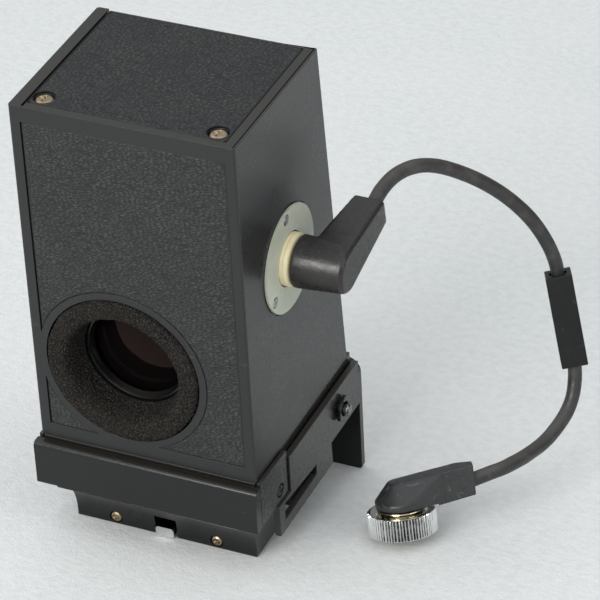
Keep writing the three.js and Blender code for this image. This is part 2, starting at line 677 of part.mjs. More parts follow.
const plugPin = () =>
  socketTurned([[0, 14.2], [1.0, 14.2], [1.75, 15.4], [1.75, PLUG.mouth - CLEAR], [0, PLUG.mouth - CLEAR]], 20);

const routePoints = CORD_ROUTE.map(([x, y, z]) => point(x, y, z));

function cordTube() {
  const path = new THREE.CatmullRomCurve3(routePoints, false, "centripetal");
  const section = new THREE.Shape();
  section.absarc(0, 0, CORD_RADIUS, 0, 2 * Math.PI);
  return new THREE.ExtrudeGeometry(section, {
    extrudePath: path, steps: 40, curveSegments: 4, bevelEnabled: false,
  });
}

function inlineBlock() {
  const start = routePoints[INLINE.from];
  const end = routePoints[INLINE.to];
  const axis = end.clone().sub(start);
  const length = axis.length();
  const body = box(-INLINE.half, INLINE.half, -INLINE.half, INLINE.half, 0, length);
  const bore = turnedZ(rodProfile(INLINE.bore, -1, length + 1), 0, 0, 16);
  return aim(cut(body, bore), start, axis, point(0.9, 0.4, 0));
}

const alongHead = (h) => HEAD.at.clone().addScaledVector(HEAD.axis, h);
const headTurned = (profile, segments) => turned(profile, HEAD.at, HEAD.axis, segments);
const HEAD_BOOT = { mouth: 5.85, foot: 5.3, band: 1.3, length: 15.5 };

// Low cone that runs out into a bar with drafted sides, rising a little towards the cord.
function headBoot() {
  const { mouth, foot, band, length } = HEAD_BOOT;
  const top = (u) => 5.2 + 0.14 * u;
  const cone = hull(
    circle(foot, 0, 0), circle(foot, 0, band), circle(2, -0.3, top(-0.3)),
    across(9, 2, top(9)), across(9, 2.85, 0.25),
  );
  const bar = hull(
    across(7.6, 2.85, -0.35), across(7.6, 2, top(7.6)), across(length, 2.9, 0.95),
    [[length, -2.05, top(length)], [12, 2.05, top(12)], [length, 0.2, top(length)], [length, 2.4, 4.9]],
  );
  return aim(join(cone, bar), alongHead(mouth), HEAD.axis, HEAD.arm);
}

function knurledRing() {
  const { radius, height, mouth, hole, web } = RING;
  return headTurned([
    [mouth, 0], [radius - 0.3, 0], [radius, 0.3], [radius, height - 0.5], [radius - 0.5, height],
    [hole, height], [hole, height - web], [mouth, height - web], [mouth, 0],
  ], 60);
}

const headCollar = () =>
  headTurned([
    [1.5, 2.4], [5.4, 2.4], [5.4, 3.3], [4.0, 3.3], [4.0, 5.1], [5.0, 5.1], [5.0, 5.55], [1.5, 5.55], [1.5, 2.4],
  ]);

const headPin = () => headTurned([[0, 0.9], [0.9, 0.9], [1.2, 1.2], [1.2, 4.6], [0, 4.6]], 20);

// ---------------------------------------------------------------- assembly
place(finder, "housing", housing(), LOOK.enamel);
place(finder, "top_cover", topCover(), LOOK.enamel);
place(finder, "top_leatherette", topSkin(), LOOK.leatherette);
place(finder, "front_leatherette", alongY(frontSkinOutline(0), -0.15, SKIN - CLEAR), LOOK.leatherette);
place(finder, "front_leatherette_corner", alongY(cornerSkinOutline(0), -0.15, SKIN - CLEAR), LOOK.leatherette);
place(finder, "rear_leatherette", rearSkin(0, 0.15), LOOK.leatherette);
for (const [side, x] of TOP_SCREWS) {
  const at = point(x, TOP_SCREW_Y, SCREW_SEAT + CLEAR);
  place(finder, `top_screw_${side}`, screw(at, Z_AXIS, 1.9, 0.7, 0.6, 4), LOOK.brass);
}

place(finder, "foam_eyecup", foamEyecup(), LOOK.foam);
place(finder, "eyepiece_flange", eyepieceFlange(), LOOK.blackPlastic);
place(finder, "lens_retaining_ring", retainingRing(), LOOK.steel);
place(finder, "eyepiece_lens", eyeTurned(lensProfile(11.3, 8.3, 12, 1.2, 1.2), 40), LOOK.glass);
place(finder, "eyepiece_inner_lens", eyeTurned(lensProfile(11.3, 12.4, 15.6, 0.8, 0.9), 40), LOOK.glass);
place(finder, "roof_prism", roofPrism(), LOOK.glass);
place(finder, "prism_cradle", prismCradle(), LOOK.blackPlastic);
place(finder, "prism_strap", prismStrap(), LOOK.steel);
place(finder, "condenser_lens", condenser(), LOOK.glass);

place(finder, "circuit_board", circuitBoard(), LOOK.board);
place(finder, "board_post_left", boardPost(BOARD.left + 3), LOOK.steel);
place(finder, "board_post_right", boardPost(BOARD.right - 3), LOOK.steel);
place(finder, "capacitor", capacitor(), LOOK.steel);
place(finder, "amplifier_can", amplifierCan(), LOOK.steel);
place(finder, "meter_cell", meterCell(), LOOK.steel);
place(finder, "cell_bracket", cellBracket(), LOOK.blackPlastic);

place(finder, "socket_plate", socketPlate(), LOOK.palePlastic);
place(finder, "socket_insert", socketInsert(), LOOK.cream);
place(finder, "socket_nut", socketNut(), LOOK.steel);
for (const [name, degrees] of SOCKET_SCREWS) {
  place(finder, `socket_screw_${name}`, socketScrew(degrees), LOOK.steel);
}

place(finder, "base_frame", baseFrame(), LOOK.enamel);
place(finder, "name_plate", namePlate(), LOOK.enamel);
place(finder, "front_block", frontBlock(), LOOK.enamel);
place(finder, "catch_tab", catchTab(), LOOK.chrome);
for (const [side, x] of BLOCK_SCREWS) {
  const at = point(x, BLOCK.front + 0.4, BLOCK_SCREW_Z);
  place(finder, `block_screw_${side}`, screw(at, point(0, -1, 0), 1.2, 0.6, 0.8, 2), LOOK.brass);
}
place(finder, "rear_skirt", rearSkirt(), LOOK.enamel);

const sidePieces = [
  ["side_plate", sidePlate, LOOK.enamel],
  ["side_rail", sideRail, LOOK.enamel],
  ["guide_channel", guideChannel, LOOK.blackPlastic],
  ["button_collar", buttonCollar, LOOK.steel],
  ["release_button", buttonPin, LOOK.steel],
  ["button_spring", buttonSpring, LOOK.steel],
  ["side_screw", sideScrew, LOOK.enamel],
];
for (const [name, build, look] of sidePieces) {
  place(finder, `${name}_right`, build(), look);
  place(finder, `${name}_left`, mirrored(build()), look);
}

place(finder, "plug_boot", plugBoot(), LOOK.rubber);
place(finder, "plug_pin", plugPin(), LOOK.brass);
place(group, "cord", cordTube(), LOOK.cable);
place(group, "inline_block", inlineBlock(), LOOK.rubber);
place(group, "head_boot", headBoot(), LOOK.rubber);
place(group, "head_collar", headCollar(), LOOK.chrome);
place(group, "knurled_ring", knurledRing(), LOOK.chrome);
place(group, "head_pin", headPin(), LOOK.steel);

export default group;
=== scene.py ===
import json
import math

import bmesh
import bpy
import numpy as np
from mathutils import Matrix, Vector


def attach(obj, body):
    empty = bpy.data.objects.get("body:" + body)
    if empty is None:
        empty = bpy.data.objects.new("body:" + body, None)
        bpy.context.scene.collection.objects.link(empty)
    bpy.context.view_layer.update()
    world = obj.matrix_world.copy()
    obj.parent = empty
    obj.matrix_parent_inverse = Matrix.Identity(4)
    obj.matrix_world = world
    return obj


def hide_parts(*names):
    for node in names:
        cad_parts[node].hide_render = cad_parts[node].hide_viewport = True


# Camera finder with a plug-in cord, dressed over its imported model. Pieces are drawn in
# millimetres, either in the finder's own upright frame or in the table frame, and placed in
# metres.
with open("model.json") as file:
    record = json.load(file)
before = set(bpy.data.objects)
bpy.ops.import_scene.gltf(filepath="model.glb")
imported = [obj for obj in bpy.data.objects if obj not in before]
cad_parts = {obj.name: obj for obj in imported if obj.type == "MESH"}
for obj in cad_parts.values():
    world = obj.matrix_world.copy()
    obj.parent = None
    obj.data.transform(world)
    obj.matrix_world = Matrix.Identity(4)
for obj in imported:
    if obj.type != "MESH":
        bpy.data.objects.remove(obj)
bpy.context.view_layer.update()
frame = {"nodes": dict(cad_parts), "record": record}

MM = 0.001
LEAN = math.radians(9)  # forward tip of the finder as it stands
SEAM_AT = Vector((0, -20.92, 22.94)) * MM  # the finder frame's origin, in the table frame
TABLE = Matrix.Scale(MM, 4)
FINDER = Matrix.Translation(SEAM_AT) @ Matrix.Rotation(LEAN, 4, "X") @ TABLE

# ------------------------------------------------------------------------------ camera
CAMERA_AT = (0.28775, -0.61019, 0.38830)
CAMERA_RIGHT = (0.91372, 0.40588, 0.01914)
CAMERA_FORWARD = (-0.35493, 0.82017, -0.44871)
FOCAL_LENGTH = 222.9  # on a sensor 36 mm wide

camera = bpy.data.objects.new("camera", bpy.data.cameras.new("camera"))
bpy.context.scene.collection.objects.link(camera)
camera.data.sensor_width = 36
camera.data.lens = FOCAL_LENGTH
camera.data.clip_end = 20
right = Vector(CAMERA_RIGHT).normalized()
forward = Vector(CAMERA_FORWARD).normalized()
up = right.cross(forward).normalized()
turn = Matrix((right, up, -forward)).transposed().to_4x4()
camera.matrix_world = Matrix.Translation(CAMERA_AT) @ turn
bpy.context.scene.camera = camera
bpy.context.scene.view_settings.view_transform = "Standard"


# ------------------------------------------------------------------------------ materials
class Look:
    """A procedural material, built up in object space so that it stays with its piece."""

    def __init__(self, name, color, rough, metal=0.0, **sockets):
        self.material = bpy.data.materials.new(name)
        self.material.use_nodes = True
        self.tree = self.material.node_tree
        self.shader = self.tree.nodes["Principled BSDF"]
        self.shader.inputs["Metallic"].default_value = metal
        for socket, value in sockets.items():
            self.shader.inputs[socket.replace("_", " ")].default_value = value
        self.place = self.node("ShaderNodeTexCoord").outputs["Object"]
        self.base = self.constant_color(color)
        self.rough = self.number(rough)
        self.normal = None

    def node(self, kind, **settings):
        made = self.tree.nodes.new(kind)
        for key, value in settings.items():
            setattr(made, key, value)
        return made

    def link(self, source, target):
        self.tree.links.new(source, target)

    def number(self, value):
        made = self.node("ShaderNodeValue")
        made.outputs[0].default_value = value
        return made.outputs[0]

    def constant_color(self, color):
        made = self.node("ShaderNodeRGB")
        made.outputs[0].default_value = (*color, 1)
        return made.outputs[0]

    def stretched(self, stretch):
        made = self.node("ShaderNodeMapping")
        made.inputs["Scale"].default_value = stretch
        self.link(self.place, made.inputs["Vector"])
        return made.outputs[0]

    def noise(self, size, stretch=(1, 1, 1), detail=3.0):
        """Noise with features of that size in millimetres."""
        made = self.node("ShaderNodeTexNoise")
        made.inputs["Scale"].default_value = 1 / (size * MM)
        made.inputs["Detail"].default_value = detail
        self.link(self.stretched(stretch), made.inputs["Vector"])
        return made.outputs["Fac"]

    def cells(self, size):
        """Distance from the middles of cells of that size in millimetres."""
        made = self.node("ShaderNodeTexVoronoi", feature="F1")
        made.inputs["Scale"].default_value = 1 / (size * MM)
        self.link(self.stretched((1, 1, 1)), made.inputs["Vector"])
        return made.outputs["Distance"]

    def stored(self, name):
        """A number kept on the mesh's points."""
        return self.node("ShaderNodeAttribute", attribute_name=name).outputs["Fac"]

    def ramp(self, source, low, high, start=0.0, end=1.0):
        """Goes smoothly from start to end as source goes from low to high."""
        made = self.node("ShaderNodeMapRange")
        made.interpolation_type = "SMOOTHSTEP"
        for socket, value in zip(made.inputs[1:5], (low, high, start, end)):
            socket.default_value = value
        self.link(source, made.inputs[0])
        return made.outputs[0]

    def times(self, a, b):
        made = self.node("ShaderNodeMath", operation="MULTIPLY")
        for socket, value in zip(made.inputs, (a, b)):
            if isinstance(value, (int, float)):
                socket.default_value = value
            else:
                self.link(value, socket)
        return made.outputs[0]

    def tint(self, mask, color, rough=None):
        """Lays another colour, and roughness, over the surface where mask is 1."""
        made = self.node("ShaderNodeMix", data_type="RGBA")
        self.link(mask, made.inputs["Factor"])
        self.link(self.base, made.inputs[6])
        made.inputs[7].default_value = (*color, 1)
        self.base = made.outputs[2]
        if rough is not None:
            blend = self.node("ShaderNodeMix", data_type="FLOAT")
            self.link(mask, blend.inputs["Factor"])
            self.link(self.rough, blend.inputs[2])
            blend.inputs[3].default_value = rough
            self.rough = blend.outputs[0]
        return self

    def vary_rough(self, source, amount):
        """Moves the roughness up and down with a 0 to 1 pattern."""
        spread = self.ramp(source, 0.3, 0.7, -amount, amount)
        made = self.node("ShaderNodeMath", operation="ADD", use_clamp=True)
        self.link(self.rough, made.inputs[0])
        self.link(spread, made.inputs[1])
        self.rough = made.outputs[0]
        return self

    def bump(self, source, height):
        """Relief of that height in millimetres where source runs from 0 to 1."""
        made = self.node("ShaderNodeBump")
        made.inputs["Strength"].default_value = 1.0
        made.inputs["Distance"].default_value = height * MM
        self.link(source, made.inputs["Height"])
        if self.normal is not None:
            self.link(self.normal, made.inputs["Normal"])
        self.normal = made.outputs[0]
        return self

    def facing_up(self, low, high):
        """1 on faces that look up, where dust settles."""
        parts = self.node("ShaderNodeSeparateXYZ")
        self.link(self.node("ShaderNodeNewGeometry").outputs["Normal"], parts.inputs[0])
        return self.ramp(parts.outputs["Z"], low, high)

    def done(self):
        self.link(self.base, self.shader.inputs["Base Color"])
        self.link(self.rough, self.shader.inputs["Roughness"])
        if self.normal is not None:
            self.link(self.normal, self.shader.inputs["Normal"])
        return self.material


def specks(look, size, low, high):
    """A mask of scattered specks: the middles of cells that a coarse noise lets through."""
    spots = look.ramp(look.cells(size), low, low * 0.5)
    return look.times(spots, look.ramp(look.noise(size * 3), high, high + 0.08))


def enamel(name, color, rough, dust):
    """Black paint on metal, with dust where it faces up, specks and a few scuffs."""
    look = Look(name, color, rough, IOR=1.46)
    look.tint(look.ramp(look.noise(30), 0.4, 0.7, 0, 0.4), [c * 1.25 for c in color])
    look.vary_rough(look.noise(14, detail=5), 0.025)
    look.vary_rough(look.noise(1.2), 0.03)
    look.bump(look.noise(0.35, detail=2), 0.0015)
    look.bump(look.noise(7), 0.0025)
    look.tint(look.times(look.facing_up(0.5, 0.95), dust), (0.11, 0.09, 0.065), 0.85)
    look.tint(look.times(specks(look, 0.7, 0.11, 0.66), 0.45), (0.14, 0.13, 0.115), 0.8)
    scuffs = look.ramp(look.noise(2.4, (0.25, 1, 1), 8), 0.69, 0.74)
    look.tint(look.times(scuffs, 0.25), (0.12, 0.12, 0.115), 0.5)
    return look.done()


def leatherette_look():
    look = Look("leatherette", (0.019, 0.020, 0.0205), 0.52, IOR=1.45)
    look.tint(look.ramp(look.noise(13), 0.35, 0.75, 0, 0.5), (0.036, 0.035, 0.033))
    # Painted shade: the grain's valleys are darkened as if shaded.
    look.tint(look.ramp(look.stored("grain"), 0.42, 0.12, 0, 0.9), (0.007, 0.007, 0.0075), 0.6)
    # Painted highlight: the grain's crests are lightened as if lit.
    look.tint(look.ramp(look.stored("grain"), 0.6, 1.0, 0, 0.7), (0.052, 0.052, 0.052))
    look.vary_rough(look.noise(0.8, (1, 1, 2.2)), 0.06)
    look.bump(look.noise(0.2, (1, 1, 1.6), 4), 0.02)
    look.tint(look.times(specks(look, 1.4, 0.1, 0.63), 0.5), (0.2, 0.19, 0.17), 0.9)
    return look.done()


def foam_look():
    look = Look("foam", (0.013, 0.0115, 0.0095), 0.95, IOR=1.4, Specular_IOR_Level=0.3)
    look.tint(look.ramp(look.cells(0.3), 0.25, 0.55, 0, 0.85), (0.006, 0.0055, 0.005))
    look.tint(look.ramp(look.noise(0.26, detail=1), 0.52, 0.68, 0, 0.7), (0.075, 0.066, 0.054))
    look.tint(look.ramp(look.noise(6), 0.45, 0.7, 0, 0.3), (0.026, 0.023, 0.019))
    look.bump(look.cells(0.42), 0.25)
    look.bump(look.noise(0.2), 0.1)
    return look.done()


def moulded(name, color, rough, speck, scratch=0.0, shine=0.5):
    """Moulded rubber or plastic with a fine grain, dust specks and scratches."""
    look = Look(name, color, rough, IOR=1.5, Specular_IOR_Level=shine)
    look.tint(look.ramp(look.noise(7), 0.4, 0.7, 0, 0.5), [c * 1.5 for c in color])
    look.vary_rough(look.noise(1.5), 0.08)
    look.bump(look.noise(0.28, detail=4), 0.022)
    look.bump(look.noise(3), 0.03)
    look.tint(look.times(specks(look, 0.45, 0.2, 0.5), speck), (0.17, 0.155, 0.135), 0.75)
    if scratch:
        trail = look.noise(5, (0.25, 1.2, 1.2), 1)
        lines = look.times(look.ramp(trail, 0.488, 0.5), look.ramp(trail, 0.512, 0.5))
        broken = look.times(lines, look.ramp(look.noise(2), 0.5, 0.56))
        look.tint(look.times(broken, scratch), (0.2, 0.2, 0.2), 0.6)
    return look.done()


def metal(name, color, rough, streak=(1, 1, 1), tarnish=0.0, grooved=False):
    """Bare or plated metal; grooved paints shade into the grooves, darkest where the mesh's "groove"
    number is high.
    """
    look = Look(name, color, rough, 1.0)
    if grooved:
        # Painted shade in the knurl's grooves, unevenly dark.
        groove_shade = look.ramp(look.stored("groove"), 0.35, 0.95)
        uneven = look.ramp(look.noise(1.3), 0.3, 0.65, 0.55, 1.0)
        look.tint(look.times(groove_shade, uneven), (0.02, 0.02, 0.018), 0.45)
    look.vary_rough(look.noise(2.2, streak), 0.06)
    look.vary_rough(look.noise(0.25, streak), 0.04)
    look.bump(look.noise(0.2, streak, 4), 0.003)
    if tarnish:
        dull = look.ramp(look.noise(1.1, detail=5), 0.48, 0.62)
        look.tint(look.times(dull, tarnish), (0.06, 0.045, 0.03), 0.6)
    return look.done()


def pale_plastic(name, color, stain, rough):
    look = Look(name, color, rough, IOR=1.5, Subsurface_Weight=0.08, Subsurface_Scale=0.0006)
    look.tint(look.ramp(look.noise(6), 0.4, 0.7, 0, 0.55), stain)
    look.vary_rough(look.noise(1.6), 0.07)
    look.bump(look.noise(0.5, detail=3), 0.008)
    look.tint(look.times(specks(look, 0.8, 0.12, 0.6), 0.6), (0.12, 0.1, 0.07), 0.8)
    return look.done()


def glass_look(name, tint, coat):
    look = Look(
        name, tint, 0.02, IOR=1.52, Transmission_Weight=0.92, Coat_Weight=coat, Coat_Roughness=0.02,
    )
    look.vary_rough(look.noise(3), 0.015)
    look.tint(look.times(specks(look, 1.1, 0.08, 0.6), 0.4), (0.3, 0.3, 0.3), 0.6)
    return look.done()


def coated_glass_painted_shade():
    """Eyepiece glass coloured near black as painted shade for the dark inside behind it: hardly any
    reflection, and that reddish.
    """
    # Painted shade: the glass's own colour is near black in place of the dark inside seen through
    # it.
    look = Look(
        "coated_glass_painted_shade", (0.0030, 0.0022, 0.0024), 0.05, IOR=1.4, Specular_IOR_Level=0.22,
        Specular_Tint=(1.0, 0.5, 0.38, 1),
    )
    look.tint(look.times(specks(look, 0.9, 0.06, 0.66), 0.3), (0.05, 0.035, 0.03), 0.5)
    return look.done()


def sheath_look():
    look = Look("cable_sheath", (0.022, 0.021, 0.021), 0.45, IOR=1.5)
    look.tint(look.ramp(look.noise(4, detail=6), 0.45, 0.68, 0, 0.7), (0.060, 0.055, 0.048), 0.6)
    look.tint(look.times(look.facing_up(0.45, 0.98), 0.3), (0.11, 0.105, 0.09), 0.75)
    look.tint(look.times(specks(look, 0.5, 0.16, 0.5), 0.75), (0.26, 0.23, 0.19), 0.8)
    look.vary_rough(look.noise(1.2), 0.1)
    look.bump(look.noise(0.6, detail=5), 0.03)
    look.bump(look.noise(4), 0.06)
    return look.done()


def board_look():
    look = Look("board", (0.13, 0.085, 0.03), 0.45)
    tracks = look.ramp(look.noise(3.4, (1, 1, 0.15), 0), 0.53, 0.56)
    look.tint(tracks, (0.32, 0.25, 0.14), 0.35)
    look.bump(tracks, 0.04)
    look.bump(look.noise(0.4), 0.01)
    return look.done()


def cloth_look():
    """Fine pale felted cloth of the table."""
    look = Look("table_cloth", (0.70, 0.715, 0.71), 0.95)
    look.tint(look.ramp(look.noise(2.3, detail=5), 0.35, 0.68, 0, 0.5), (0.60, 0.615, 0.61))
    look.tint(look.ramp(look.noise(60, detail=2), 0.35, 0.7, 0, 0.35), (0.73, 0.735, 0.725))
    look.bump(look.noise(1.3, detail=5), 0.14)
    look.bump(look.noise(0.4, detail=2), 0.1)
    return look.done()


LOOKS = {
    "enamel": enamel("satin_enamel", (0.0125, 0.0135, 0.0140), 0.3, 0.12),
    "gloss": enamel("gloss_enamel", (0.004, 0.0042, 0.0045), 0.16, 0.12),
    "rail": enamel("rail_enamel", (0.014, 0.0145, 0.015), 0.26, 0.25),
    "dusty": enamel("dusty_enamel", (0.012, 0.012, 0.012), 0.3, 0.9),
    "leatherette": leatherette_look(),
    "foam": foam_look(),
    "black_plastic": moulded("black_plastic", (0.009, 0.009, 0.010), 0.42, 0.15),
    "pale_plastic": pale_plastic("pale_plastic", (0.50, 0.525, 0.435), (0.43, 0.45, 0.36), 0.42),
    "cream_plastic": pale_plastic("cream_plastic", (0.74, 0.66, 0.42), (0.58, 0.47, 0.25), 0.38),
    "cable_sheath": sheath_look(),
    "boot_rubber": moulded("boot_rubber", (0.014, 0.012, 0.0115), 0.32, 0.6),
    "head_rubber": moulded("head_rubber", (0.019, 0.0205, 0.021), 0.38, 0.35, 0.3),
    "block_rubber": moulded("block_rubber", (0.005, 0.0052, 0.0055), 0.32, 0.15, 0.1, 0.3),
    "chrome": metal("chrome", (0.74, 0.75, 0.74), 0.09),
    "knurled_chrome": metal("knurled_chrome", (0.72, 0.73, 0.72), 0.12, grooved=True),
    "gilt": metal("gilt_plate", (0.66, 0.58, 0.40), 0.16),
    "dark_chrome": metal("dark_chrome", (0.20, 0.205, 0.21), 0.2),
    "brass": metal("worn_brass", (0.40, 0.32, 0.22), 0.38, tarnish=0.25),
    "steel": metal("steel", (0.42, 0.43, 0.44), 0.3, (1, 1, 6)),
    "glass": glass_look("glass", (0.93, 0.95, 0.94), 0.6),
    "coated_glass_painted_shade": coated_glass_painted_shade(),
    # Roof prism: black paint as on its outer faces, and black all through as painted shade, so the
    # view in through the eyepiece stays dark.
    "blackened_glass_painted_shade": moulded("blackened_glass_painted_shade", (0.003, 0.0025, 0.0025), 0.12, 0.05, 0, 0.15),
    "board": board_look(),
}


# ------------------------------------------------------------------------------ mesh helpers
def body_of_node(node):
    bodies = frame["record"]["behaviour"]["bodies"]
    return next(body for body, members in bodies.items() if node in members)


def add_piece(name, mesh, look, node, smooth=35):
    """Puts a mesh in the scene, in the place of a CAD node and on its body. Edges sharper than
    smooth degrees stay crisp."""
    piece = bpy.data.objects.new(name, mesh)
    bpy.context.scene.collection.objects.link(piece)
    mesh.materials.clear()
    mesh.materials.append(LOOKS[look])
    mesh.shade_smooth()
    mesh.set_sharp_from_angle(angle=math.radians(smooth))
    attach(piece, body_of_node(node))
    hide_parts(node)
    return piece


def weighted_normals(piece):
    modifier = piece.modifiers.new("weighted", "WEIGHTED_NORMAL")
    modifier.keep_sharp = True
    return piece


def to_mesh(name, bm, place=None):
    if place is not None:
        bm.transform(place)
    bmesh.ops.recalc_face_normals(bm, faces=bm.faces)
    mesh = bpy.data.meshes.new(name)
    bm.to_mesh(mesh)
    bm.free()
    return mesh


def sharp_edges(bm, degrees):
    limit = math.radians(degrees)
    return [edge for edge in bm.edges if edge.is_manifold and edge.calc_face_angle(0) > limit]


def rounded(bm, edges, offset):
    bmesh.ops.bevel(
        bm, geom=edges, offset=offset * MM, segments=3, profile=0.5, affect="EDGES",
        clamp_overlap=True,
    )


def upright(edge):
    along = edge.verts[1].co - edge.verts[0].co
    return abs(along.normalized().z) > 0.9


def refine(
    name, node, look, fine, broad=0.0, broad_length=5.0, wanted=None, adjust=None, merged=True,
):
    """The CAD node's shape with whole flat faces and rounded edges: broad ones first, where an
    edge is long and on the outside, and then a fine break on every edge that is still sharp.
    merged=False keeps the faces that the CAD cut its flats into."""
    bm = bmesh.new()
    bm.from_mesh(frame["nodes"][node].data)
    if adjust:
        adjust(bm)
    bmesh.ops.remove_doubles(bm, verts=bm.verts, dist=2e-6)
    if merged:
        bmesh.ops.dissolve_limit(bm, angle_limit=math.radians(0.6), verts=bm.verts, edges=bm.edges)
    if broad:
        chosen = [
            edge for edge in sharp_edges(bm, 35)
            if edge.calc_length() > broad_length * MM and edge.is_convex
            and (wanted is None or wanted(edge))
        ]
        rounded(bm, chosen, broad)
    rounded(bm, sharp_edges(bm, 38), fine)
    return weighted_normals(add_piece(name, to_mesh(name, bm), look, node))


def softened(name, node, look, voxel, rounds):
    """The CAD node's shape with every edge rubbed round, as soft moulded rubber has them."""
    worn = frame["nodes"][node].data.copy()
    worn.transform(Matrix.Scale(1 / MM, 4))
    carrier = bpy.data.objects.new(f"{name}_carrier", worn)
    bpy.context.scene.collection.objects.link(carrier)
    remesh = carrier.modifiers.new("remesh", "REMESH")
    remesh.mode = "VOXEL"
    remesh.voxel_size = voxel
    smooth = carrier.modifiers.new("smooth", "SMOOTH")
    smooth.factor = 0.5
    smooth.iterations = rounds
    ready = carrier.evaluated_get(bpy.context.evaluated_depsgraph_get())
    mesh = bpy.data.meshes.new_from_object(ready)
    bpy.data.objects.remove(carrier)
    mesh.transform(Matrix.Scale(MM, 4))
    return add_piece(name, mesh, look, node, smooth=60)


def lattice_value(i, j, seed):
    """A repeatable number from 0 to 1 for each lattice square."""
    mixed = (i * 374761393 + j * 668265263 + seed * 1274126177) & 0xFFFFFFFF
    mixed = ((mixed ^ (mixed >> 13)) * 1103515245) & 0xFFFFFFFF
    return ((mixed ^ (mixed >> 16)) & 0xFFFFFF) / 0xFFFFFF


def lattice_noise(x, y, seed):
    """Smooth noise from -1 to 1 with features one lattice square wide."""
    i, j = np.floor(x).astype(np.int64), np.floor(y).astype(np.int64)
    fx, fy = x - i, y - j
    fx, fy = fx * fx * (3 - 2 * fx), fy * fy * (3 - 2 * fy)
    low = lattice_value(i, j, seed) * (1 - fx) + lattice_value(i + 1, j, seed) * fx
    high = lattice_value(i, j + 1, seed) * (1 - fx) + lattice_value(i + 1, j + 1, seed) * fx
    return 2 * (low * (1 - fy) + high * fy) - 1


def cell_distances(x, y, seed):
    """Distances to the nearest and the next of one scattered point per lattice square."""
    i, j = np.floor(x).astype(np.int64), np.floor(y).astype(np.int64)
    near = np.full(x.shape, 9.0)
    following = near.copy()
    for di in (-1, 0, 1):
        for dj in (-1, 0, 1):
            px = i + di + lattice_value(i + di, j + dj, seed)
            py = j + dj + lattice_value(i + di, j + dj, seed + 1)
            away = np.hypot(px - x, py - y)
            following = np.minimum(following, np.maximum(near, away))
            near = np.minimum(near, away)
    return near, following


WRINKLE = (1.05, 0.40)  # length and height of one wrinkle


def leather_grain(u, v):
    """Relief from 0 to 1 of short pebbled wrinkles that lie mostly across the finder."""
    drift = 0.35 * lattice_noise(u / 2.6, v / 1.9, 3)
    slant = u * 0.06 + 0.7 * lattice_noise(u / 7.0, v / 7.0, 4)
    near, following = cell_distances(
        u / WRINKLE[0] + drift, (v + slant) / WRINKLE[1] + 0.8 * drift, 7,
    )
    rise = np.clip((following - near) * 1.5, 0, 1)
    pebble = rise * rise * (3 - 2 * rise)
    return np.clip(0.85 * pebble + 0.2 * lattice_noise(u / 0.5, v / 0.2, 8), 0, 1)


GRID_CELL = (0.2, 0.105)
GRAIN_DEPTH = 0.13
RIM_DROP = 0.14
RIM_WIDTH = 0.3


def skin(name, node, spans, inside, place, back, grained=None):
    """A grained sheet. A grid is trimmed to the outline where inside(u, v) is negative, its rim
    is rolled over where grained(u, v) is, and it is closed behind, round any holes. Vertices
    keep their grain as a number. place(u, v, height) gives finder points."""
    (u0, u1), (v0, v1) = spans
    wide, high = GRID_CELL
    us = np.arange(u0 - 2 * wide, u1 + 2.5 * wide, wide)
    vs = np.arange(v0 - 2 * high, v1 + 2.5 * high, high)
    u, v = np.meshgrid(us, vs)
    away = inside(u, v)
    step = 0.01
    slope_u = (inside(u + step, v) - inside(u - step, v)) / (2 * step)
    slope_v = (inside(u, v + step) - inside(u, v - step)) / (2 * step)
    reach = np.maximum(0.5 * (np.abs(slope_u) * wide + np.abs(slope_v) * high), 0.3 * high)
    rim = np.abs(away) < reach
    u = np.where(rim, u - slope_u * away, u)
    v = np.where(rim, v - slope_v * away, v)
    kept = away < reach
    within = away if grained is None else grained(u, v)
    roll = np.clip(1 + np.minimum(within, 0) / RIM_WIDTH, 0, 1)
    roll[rim] = 1.0
    grain = leather_grain(u, v) * (1 - roll)
    height = GRAIN_DEPTH * (grain - 0.5) * (1 - roll) - RIM_DROP * roll ** 2
    bm = bmesh.new()
    stored = bm.verts.layers.float.new("grain")
    rows, columns = u.shape
    verts = {}
    for r in range(rows):
        for c in range(columns):
            if kept[r, c]:
                verts[r, c] = bm.verts.new(place(u[r, c], v[r, c], height[r, c]))
                verts[r, c][stored] = grain[r, c]
    for r in range(rows - 1):
        for c in range(columns - 1):
            corners = [(r, c), (r, c + 1), (r + 1, c + 1), (r + 1, c)]
            present = [verts[key] for key in corners if key in verts]
            if len(present) >= 3:
                bm.faces.new(present)
    loose = [vert for vert in bm.verts if not vert.link_faces]
    bmesh.ops.delete(bm, geom=loose, context="VERTS")
    edge = [e for e in bm.edges if e.is_boundary]
    made = bmesh.ops.extrude_edge_only(bm, edges=edge)["geom"]
    lower = [item for item in made if isinstance(item, bmesh.types.BMVert)]
    lift = Vector(place(0, 0, back)) - Vector(place(0, 0, -RIM_DROP))
    bmesh.ops.translate(bm, verts=lower, vec=lift)
    rim_edges = [e for e in bm.edges if e.is_boundary]
    bmesh.ops.triangle_fill(bm, use_beauty=True, use_dissolve=False, edges=rim_edges)
    mesh = to_mesh(name, bm, FINDER)
    return add_piece(name, mesh, "leatherette", node, smooth=60)


